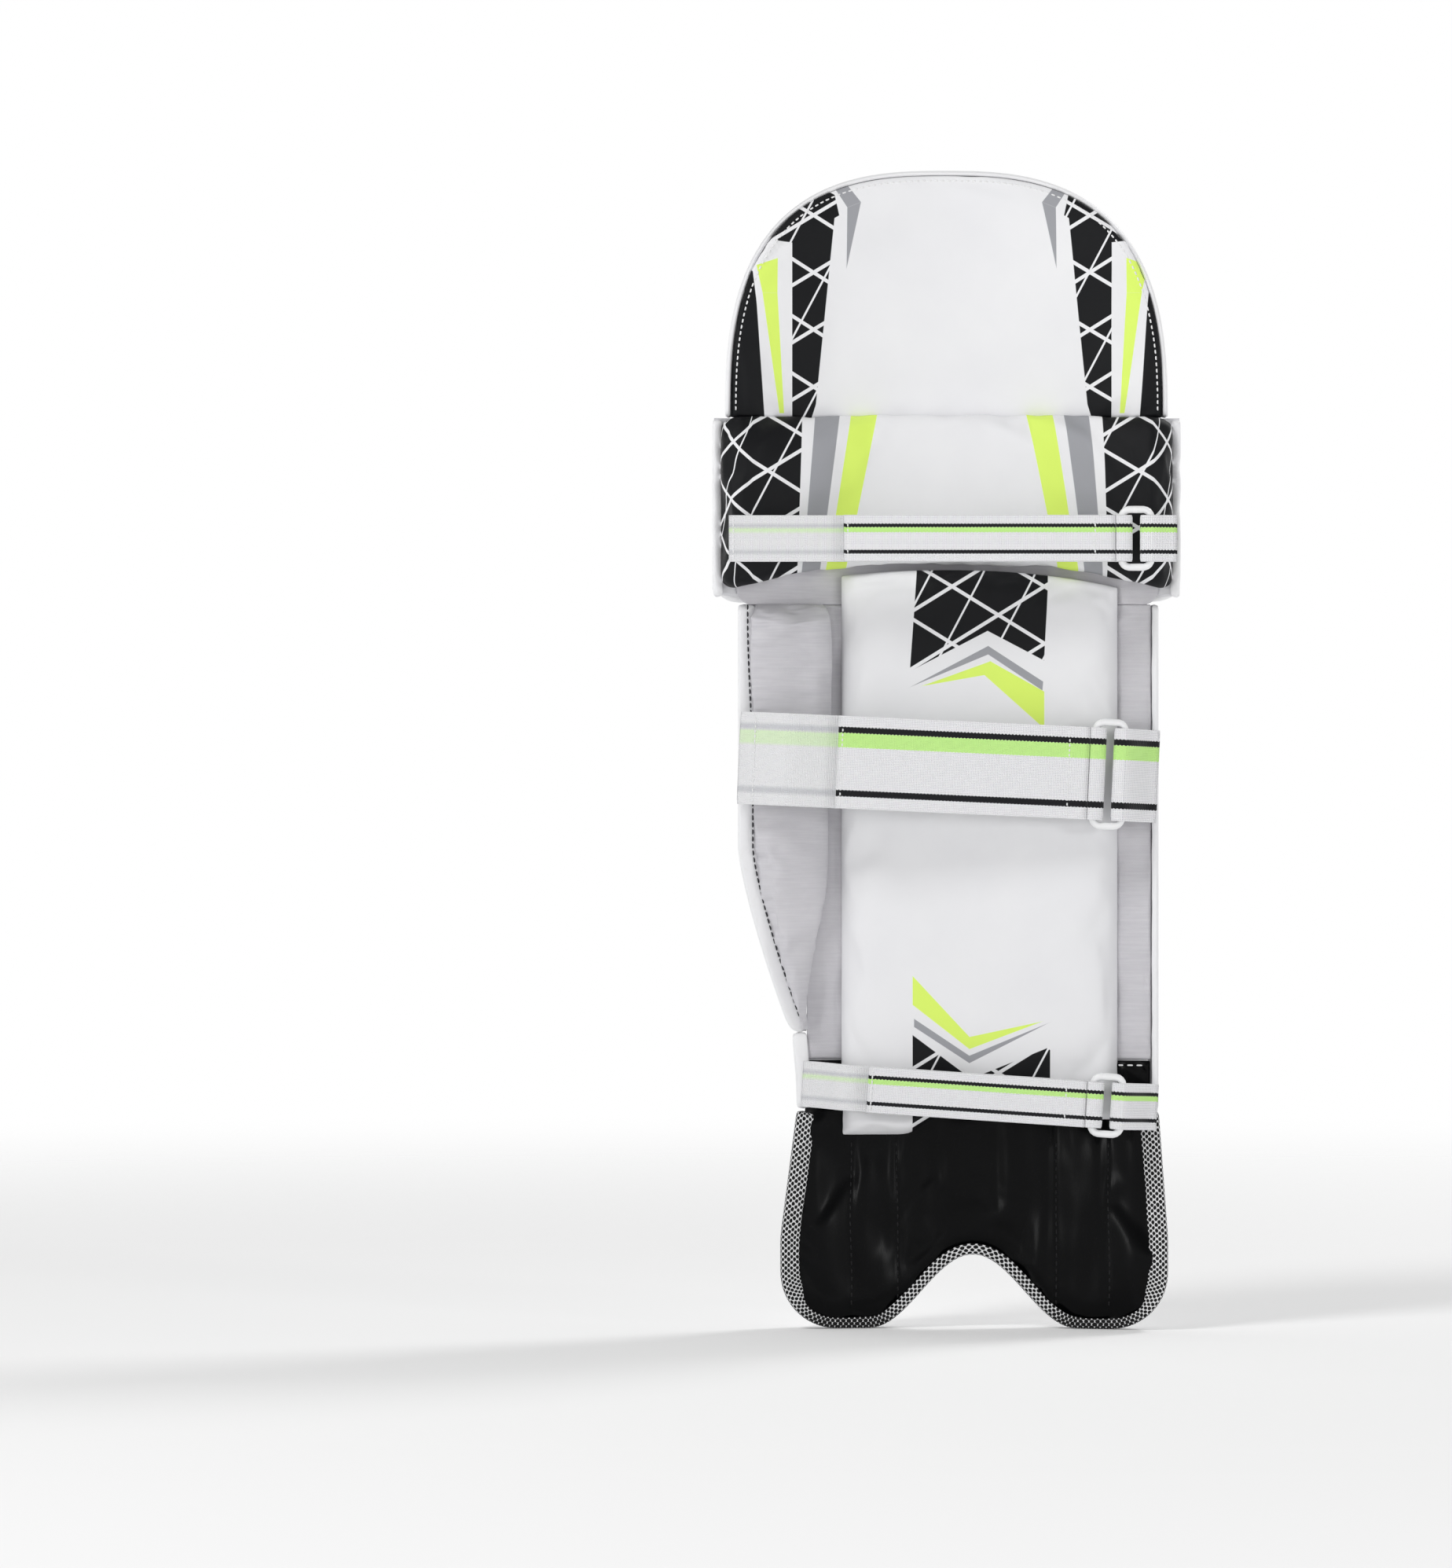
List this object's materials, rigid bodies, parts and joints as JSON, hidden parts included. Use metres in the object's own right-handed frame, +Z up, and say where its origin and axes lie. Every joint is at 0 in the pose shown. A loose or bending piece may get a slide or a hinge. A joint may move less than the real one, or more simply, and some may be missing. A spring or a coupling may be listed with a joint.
{
  "type": "cricket leg pad",
  "caption": "Padded leg guard with caned shin channels, knee rolls, a tilting top section, a side wing and webbing straps that close through rings with hook-and-loop tails.",
  "frame": {"origin": "front face of the backing foam on the leg axis, level with the lowest point of the foot lobes", "axes": "+Z up the leg, +Y from the pad towards the leg, +X towards the wing"},
  "size_m": [0.252, 0.0968, 0.63],
  "materials": {
    "pu_face": "soft satin",
    "foam": "matte",
    "grey_lining": "matte",
    "printed_cloth": "matte print",
    "black_satin": "satin",
    "mesh_binding": "open mesh",
    "cane": "matte",
    "webbing": "woven",
    "ring_plastic": "moulded",
    "hook_and_loop": "napped"
  },
  "bodies": {
    "shin": {"shin_base": "foam", "shin_lining": "grey_lining", "instep_lining": "black_satin", "instep_panel": "pu_face", "foot_binding": "mesh_binding", "side_edging": "pu_face", "cane_rods": "cane", "shin_roll_1": "pu_face", "shin_roll_2": "pu_face", "shin_roll_3": "pu_face", "shin_roll_4": "pu_face", "shin_roll_5": "pu_face", "shin_roll_6": "pu_face", "shin_roll_7": "pu_face", "shin_bolster_cover": "printed_cloth", "shin_bolster_foam": "foam", "calf_strap": "webbing", "calf_ring": "ring_plastic", "calf_tab": "webbing", "calf_loop_patch": "hook_and_loop", "ankle_strap": "webbing", "ankle_ring": "ring_plastic", "ankle_tab": "webbing", "ankle_loop_patch": "hook_and_loop"},
    "wing": {"wing_face": "pu_face", "wing_bolster_cover": "grey_lining", "wing_bolster_foam": "foam", "wing_edging": "pu_face"},
    "knee": {"knee_base": "foam", "knee_roll_1": "pu_face", "knee_roll_2": "pu_face", "knee_roll_3": "pu_face", "knee_bolster_cover": "printed_cloth", "knee_bolster_foam": "foam", "knee_strap": "webbing", "knee_ring": "ring_plastic", "knee_tab": "webbing", "knee_loop_patch": "hook_and_loop"},
    "top_hat": {"top_base": "foam", "top_lining": "printed_cloth", "top_piping": "pu_face", "top_panel_1": "pu_face", "top_panel_2": "pu_face", "top_panel_3": "pu_face", "top_panel_4": "pu_face", "top_panel_5": "pu_face", "top_panel_6": "pu_face", "top_panel_7": "pu_face", "top_panel_8": "pu_face"},
    "knee_tail": {"knee_tail": "webbing", "knee_hook_patch": "hook_and_loop"},
    "calf_tail": {"calf_tail": "webbing", "calf_hook_patch": "hook_and_loop"},
    "ankle_tail": {"ankle_tail": "webbing", "ankle_hook_patch": "hook_and_loop"}
  },
  "joints": [
    {"name": "knee_flex", "type": "hinge", "parent": "shin", "child": "knee", "pos_m": [0, 0.003, 0.394], "axis": [-1, 0, 0], "range_deg": [0, 10], "stiffness_Nm_per_rad": 2, "springref_deg": -3.44},
    {"name": "top_hat_flex", "type": "hinge", "parent": "knee", "child": "top_hat", "pos_m": [0, 0.003, 0.494], "axis": [-1, 0, 0], "range_deg": [0, 15], "stiffness_Nm_per_rad": 2, "springref_deg": -3.44},
    {"name": "wing_open", "type": "hinge", "parent": "shin", "child": "wing", "pos_m": [0.0783, 0.00045, 0.28], "axis": [0, 0, -1], "range_deg": [0, 15], "stiffness_Nm_per_rad": 1, "springref_deg": -2.86},
    {"name": "knee_tail_peel", "type": "hinge", "parent": "knee", "child": "knee_tail", "pos_m": [-0.08671, 0.06442, 0.428], "axis": [0, 0, 1], "range_deg": [0, 110]},
    {"name": "calf_tail_peel", "type": "hinge", "parent": "shin", "child": "calf_tail", "pos_m": [-0.07294, 0.05072, 0.30177], "axis": [-0.045, -0.0029, 0.999], "range_deg": [0, 110]},
    {"name": "ankle_tail_peel", "type": "hinge", "parent": "shin", "child": "ankle_tail", "pos_m": [-0.07144, 0.04964, 0.12345], "axis": [-0.0638, 0.0043, 0.998], "range_deg": [0, 110]}
  ]
}
